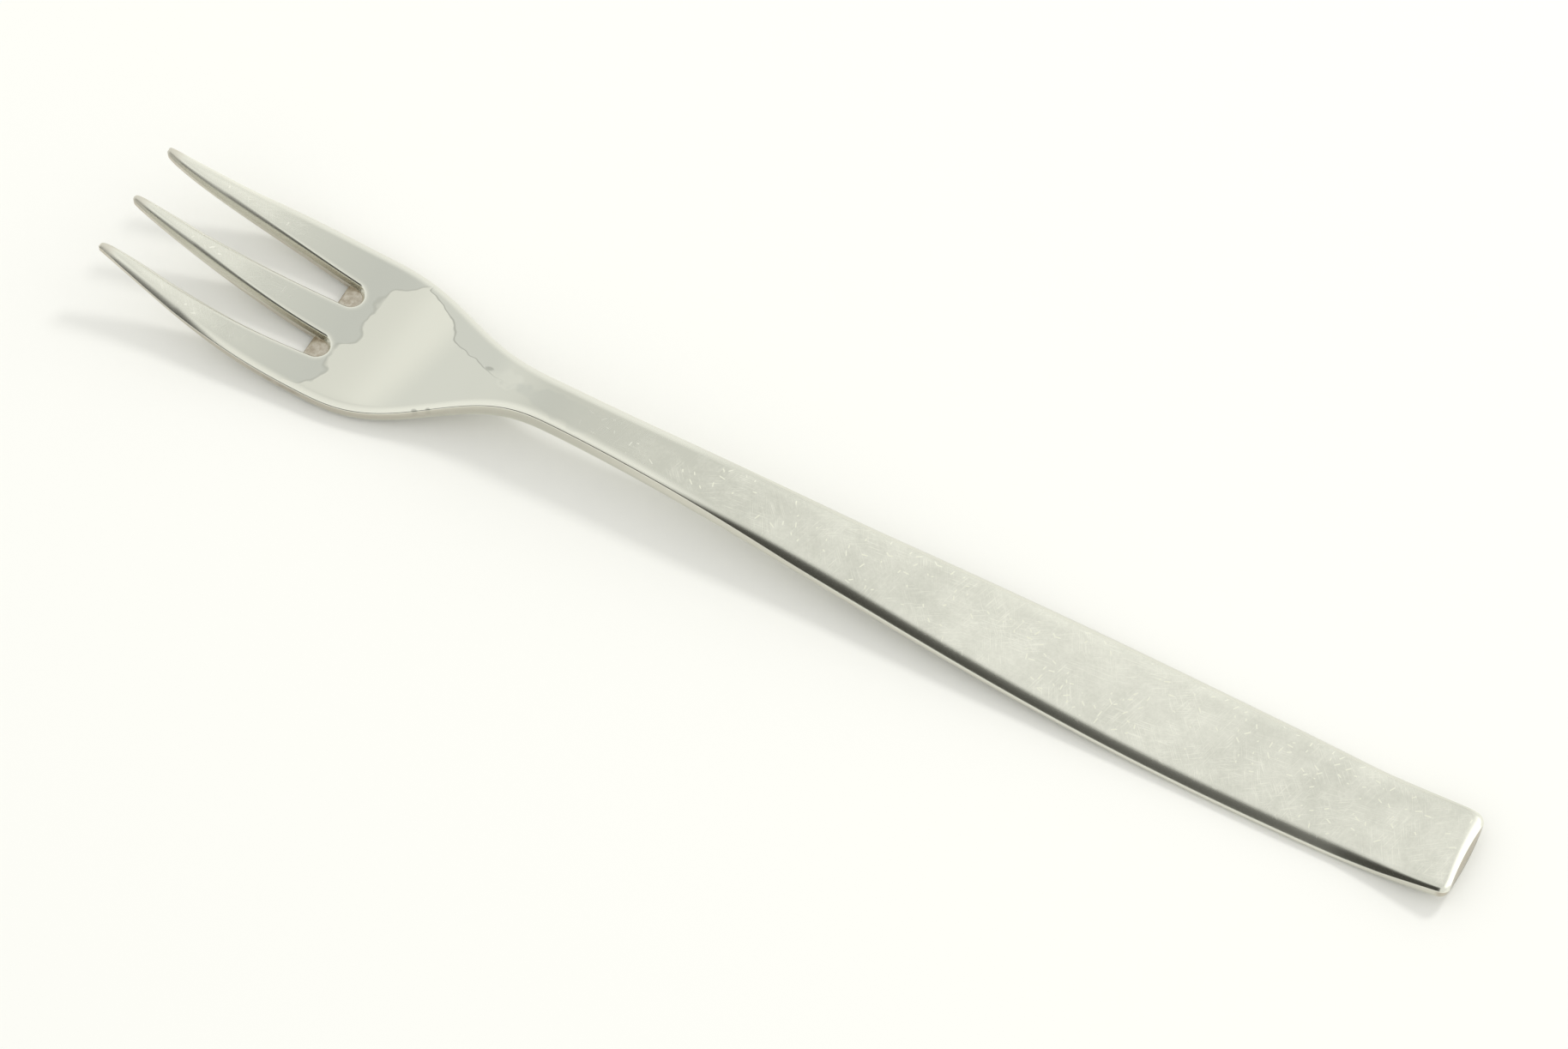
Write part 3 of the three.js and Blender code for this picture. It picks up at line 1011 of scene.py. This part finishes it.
# Painted darker reflection beyond the borders of the bright patch, a slanted painted shade on the bowl's
# neck side that leaves a painted sheen, and a dark spot on the neck
def painted_reflections_and_dark_spot(tree, skin, borders):
    # Painted darker reflection past the wavy borders, towards the tine roots and on the neck side
    root = map_range(tree, skin.station, *ROOT_REFLECTION_SHADE_FADE, ROOT_REFLECTION_SHADE, 0.0)
    root = product(tree, fade_in(tree, borders.past_tines, *TINE_BORDER_EDGE), root)
    neck = product(tree, fade_in(tree, borders.past_neck, *NECK_BORDER_EDGE), borders.far_bowl, NECK_REFLECTION_SHADE)
    # Painted shade on the neck side of a slanted line, which leaves a painted sheen over the bowl
    sheen_edge = fade_out(tree, slanted(tree, skin, SHEEN_EDGE_SLANT), *SHEEN_EDGE_FADE, SHEEN_EDGE_SHADE)
    sheen_edge = product(tree, sheen_edge, map_range(tree, skin.station, *SHEEN_EDGE_START, SHEEN_EDGE_LEAST, 1.0))
    reflection_shade = product(tree, greatest(tree, root, neck, sheen_edge), skin.on_face)
    dark = fade_out(tree, from_spot(tree, skin, DARK_SPOT), *DARK_EDGE, DARK_SPOT_DEPTH)
    dark = product(tree, dark, map_range(tree, skin.station, *DARK_START, DARK_LEAST, 1.0), skin.upper)
    return calculate(tree, "ADD", reflection_shade, dark, clamp=True)


# Thin darker lines along the borders of the painted reflection patch, and small stain spots
def dark_lines_and_stains(tree, skin, borders):
    # Thin darker lines along the borders of the painted reflection patch
    tine_line = product(tree, ridge(tree, borders.past_tines, TINE_LINE_HALF), TINE_LINE_DARKNESS)
    neck_line = ridge(tree, borders.past_neck, NECK_LINE_HALF)
    neck_line = product(tree, neck_line, borders.far_bowl, NECK_LINE_DARKNESS)
    marks = product(tree, greatest(tree, tine_line, neck_line), skin.on_face)
    off_back = fade_in(tree, skin.face, *RIM_MARKS)
    for spot in STAIN_SPOTS:
        mark = fade_out(tree, from_spot(tree, skin, spot), *STAIN_EDGE, SPOT_STAIN)
        marks = greatest(tree, marks, product(tree, mark, off_back))
    return marks


# Walls and slot floors are tan, a painted reflection of the shaded table, and the flanks beside the slots
# and the scuffed tips less so
def tan_walls(tree, skin):
    # Tan walls and flanks: a painted reflection of the shaded table
    wall = map_range(tree, skin.face, *UP_THE_WALL, BACK_TAN, 1.0)
    wall = product(tree, wall, skin.below_face)
    wall = greatest(tree, wall, product(tree, skin.flank, FLANK_TAN))
    along = map_range(tree, skin.station, *TAN_START, HANDLE_TAN, 1.0)
    wall = product(tree, wall, greatest(tree, along, skin.at_end))
    return greatest(tree, wall, product(tree, skin.at_tip, TIP_TAN))


# Painted shade, mottled, in the roots of the slots and on the wall of the handle's end
def painted_slot_and_end_shade(tree, skin, wall):
    # Painted shade in the slot roots, mottled
    in_slot = product(
        tree,
        map_range(tree, skin.face, *SLOT_TOP, 1.0, 0.0),
        map_range(tree, skin.face, *SLOT_BOTTOM, 0.0, 1.0),
        map_range(tree, skin.station, *SLOT_SHADE_START, 0.0, 1.0),
        map_range(tree, skin.station, *SLOT_SHADE_FADE, 1.0, 0.0),
    )
    patchy = map_range(tree, noise(tree, skin.plan, *SLOT_SHADE_MOTTLE), *SLOT_SHADE_MOTTLE_LEVELS, *SLOT_SHADE_MOTTLE_SHARES)
    # Painted shade on the end wall
    end = product(tree, wall, skin.at_end, END_WALL_SHADE)
    return greatest(tree, product(tree, patchy, in_slot), end)


# Satin on the handle, polish on the rest, and rougher along scratches, at the tips and towards them
def roughness(tree, skin, lines):
    satin = product(tree, skin.upper, skin.handle, fade_in(tree, skin.edge, *SATIN_INSIDE))
    return total(
        tree,
        mix_value(tree, satin, POLISHED_ROUGHNESS, SATIN_ROUGHNESS),
        product(tree, lines, SCRATCH_ROUGHNESS),
        product(tree, skin.at_tip, SCUFF_ROUGHNESS),
        map_range(tree, skin.station, *SOFT_TINES, 0.0, TINE_ROUGHNESS),
    )


def steel_material():
    steel = bpy.data.materials.new("worn_steel_and_painted_light")
    steel.use_nodes = True
    tree = steel.node_tree
    shader = tree.nodes["Principled BSDF"]
    shader.inputs["Metallic"].default_value = 1.0
    skin = read_skin(tree)
    hatch = hatching(tree, skin.plan)
    lines = scratches(tree, skin, hatch)
    borders = reflection_borders(tree, skin)
    wall = tan_walls(tree, skin)
    finishes = (
        (wear_and_sheen(tree, skin, hatch, lines), WORN_AND_SHEEN_STEEL),
        (painted_reflections_and_dark_spot(tree, skin, borders), REFLECTION_SHADE_AND_SPOT_STEEL),
        (dark_lines_and_stains(tree, skin, borders), DARK_LINE_AND_STAIN_STEEL),
        (wall, WALL_STEEL),
        (painted_slot_and_end_shade(tree, skin, wall), PAINTED_SHADE_STEEL),
    )
    colour = POLISHED_STEEL
    for share, finish in finishes:
        colour = mix_colour(tree, share, colour, finish)
    plug(tree, shader.inputs["Base Color"], colour)
    plug(tree, shader.inputs["Roughness"], roughness(tree, skin, lines))
    return steel


# A wide plain table top
TABLE_HALF = 3.0
TABLE_COLOUR = (0.91, 0.91, 0.89, 1)
TABLE_ROUGHNESS = 0.9


def make_floor():
    mesh = bpy.data.meshes.new("table_top")
    corners = ((-1, -1), (1, -1), (1, 1), (-1, 1))
    mesh.from_pydata([(x * TABLE_HALF, y * TABLE_HALF, 0) for x, y in corners], [], [(0, 1, 2, 3)])
    floor = bpy.data.objects.new("table_top", mesh)
    bpy.context.collection.objects.link(floor)
    white = bpy.data.materials.new("white_table")
    white.use_nodes = True
    shader = white.node_tree.nodes["Principled BSDF"]
    shader.inputs["Base Color"].default_value = TABLE_COLOUR
    shader.inputs["Roughness"].default_value = TABLE_ROUGHNESS
    shader.inputs["Specular IOR Level"].default_value = 0.0
    mesh.materials.append(white)


# A large soft-edged dark card on the near side, seen only in the steel: it darkens the rolled edges
CARD_COLOUR = (0.06, 0.058, 0.05, 1)
CARD_DISTANCE = 2.0
CARD_LEFT = -1.1
CARD_RIGHT = 2.4
CARD_BOTTOM = 0.02
CARD_TOP = 5.4
CARD_LEFT_FADE = 1.5
CARD_RIGHT_FADE = 0.8
CARD_TOP_FADE = (math.radians(50), math.radians(74))


def dark_card_material():
    black = bpy.data.materials.new("dark_card")
    black.use_nodes = True
    tree = black.node_tree
    tree.nodes.clear()
    place = split_vector(tree, new_node(tree, "ShaderNodeTexCoord").outputs["Object"])
    rise = single(tree, "ARCTANGENT", divide(tree, place["Z"], CARD_DISTANCE))
    top = fade_out(tree, rise, *CARD_TOP_FADE)
    left = fade_in(tree, place["X"], CARD_LEFT, CARD_LEFT + CARD_LEFT_FADE)
    right = fade_out(tree, place["X"], CARD_RIGHT - CARD_RIGHT_FADE, CARD_RIGHT)
    dark = new_node(tree, "ShaderNodeEmission")
    dark.inputs["Color"].default_value = CARD_COLOUR
    mixed = new_node(tree, "ShaderNodeMixShader")
    plug(tree, mixed.inputs[0], product(tree, top, left, right))
    plug(tree, mixed.inputs[1], new_node(tree, "ShaderNodeBsdfTransparent").outputs[0])
    plug(tree, mixed.inputs[2], dark.outputs[0])
    plug(tree, new_node(tree, "ShaderNodeOutputMaterial").inputs["Surface"], mixed.outputs[0])
    return black


def make_dark_card():
    mesh = bpy.data.meshes.new("dark_card")
    corners = (
        (CARD_LEFT, CARD_BOTTOM), (CARD_RIGHT, CARD_BOTTOM), (CARD_RIGHT, CARD_TOP), (CARD_LEFT, CARD_TOP),
    )
    mesh.from_pydata([(x, CARD_DISTANCE, z) for x, z in corners], [], [(0, 1, 2, 3)])
    mesh.materials.append(dark_card_material())
    card = bpy.data.objects.new("dark_card", mesh)
    bpy.context.collection.objects.link(card)
    card.visible_camera = False
    card.visible_diffuse = False
    card.visible_transmission = False
    card.visible_shadow = False


# Pale studio: soft light all round, dimmer overhead and brighter towards a window past the handle's end.
# Each zone is a direction, the cosines at its rim and at its core, and the change of level there.
WORLD_COLOUR = (1.0, 1.0, 0.96, 1)
WORLD_LEVEL = 0.9
WORLD_ZONES = (
    (Vector((0.06, -0.25, 0.96)), 0.82, 0.975, -0.09),
    (Vector((-0.76, -0.48, 0.44)), 0.79, 0.97, 0.58),
)


def make_studio():
    world = bpy.data.worlds.new("studio")
    bpy.context.scene.world = world
    world.use_nodes = True
    tree = world.node_tree
    background = tree.nodes["Background"]
    background.inputs["Color"].default_value = WORLD_COLOUR
    direction = new_node(tree, "ShaderNodeTexCoord").outputs["Generated"]
    level = WORLD_LEVEL
    for centre, rim, core, change in WORLD_ZONES:
        facing = new_node(tree, "ShaderNodeVectorMath", operation="DOT_PRODUCT")
        plug(tree, facing.inputs[0], direction)
        facing.inputs[1].default_value = centre.normalized()
        level = total(tree, fade_in(tree, facing.outputs["Value"], rim, core, change), level)
    plug(tree, background.inputs["Strength"], level)


# One small key lamp
KEY_COLOUR = (1.0, 0.99, 0.96)
KEY_DIRECTION = Vector((-0.2, -0.62, 0.78)).normalized()
KEY_DISTANCE = 1.0
KEY_SIZE = 0.18
KEY_POWER = 2.2


def make_key_lamp():
    data = bpy.data.lights.new("key_lamp", "AREA")
    data.shape = "SQUARE"
    data.size = KEY_SIZE
    data.energy = KEY_POWER
    data.color = KEY_COLOUR
    lamp = bpy.data.objects.new("key_lamp", data)
    lamp.location = KEY_DIRECTION * KEY_DISTANCE
    lamp.rotation_mode = "QUATERNION"
    lamp.rotation_quaternion = KEY_DIRECTION.to_track_quat("Z", "Y")
    lamp.visible_glossy = False
    bpy.context.collection.objects.link(lamp)


# Camera, from the photograph's own perspective
CAMERA_AZIMUTH = math.radians(208.55)
CAMERA_ELEVATION = math.radians(61)
CAMERA_DISTANCE = 0.5362
CAMERA_AIM = Vector((0.0006, -0.0021, 0))
CAMERA_LENS = 108.3
CAMERA_NEAR = 0.01
CAMERA_FAR = 100
SENSOR_WIDTH = 36


def make_camera():
    data = bpy.data.cameras.new("camera")
    data.sensor_fit = "HORIZONTAL"
    data.sensor_width = SENSOR_WIDTH
    data.lens = CAMERA_LENS
    data.clip_start = CAMERA_NEAR
    data.clip_end = CAMERA_FAR
    camera = bpy.data.objects.new("camera", data)
    level = math.cos(CAMERA_ELEVATION)
    back = Vector((
        math.sin(CAMERA_AZIMUTH) * level,
        -math.cos(CAMERA_AZIMUTH) * level,
        math.sin(CAMERA_ELEVATION),
    ))
    camera.location = CAMERA_AIM + back * CAMERA_DISTANCE
    camera.rotation_mode = "QUATERNION"
    camera.rotation_quaternion = back.to_track_quat("Z", "Y")
    bpy.context.collection.objects.link(camera)
    bpy.context.scene.camera = camera


bpy.context.scene.view_settings.view_transform = "Standard"
make_camera()
make_studio()
make_key_lamp()
make_floor()
make_dark_card()
fork = make_fork(steel_material())
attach(fork, "root")
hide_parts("fork")
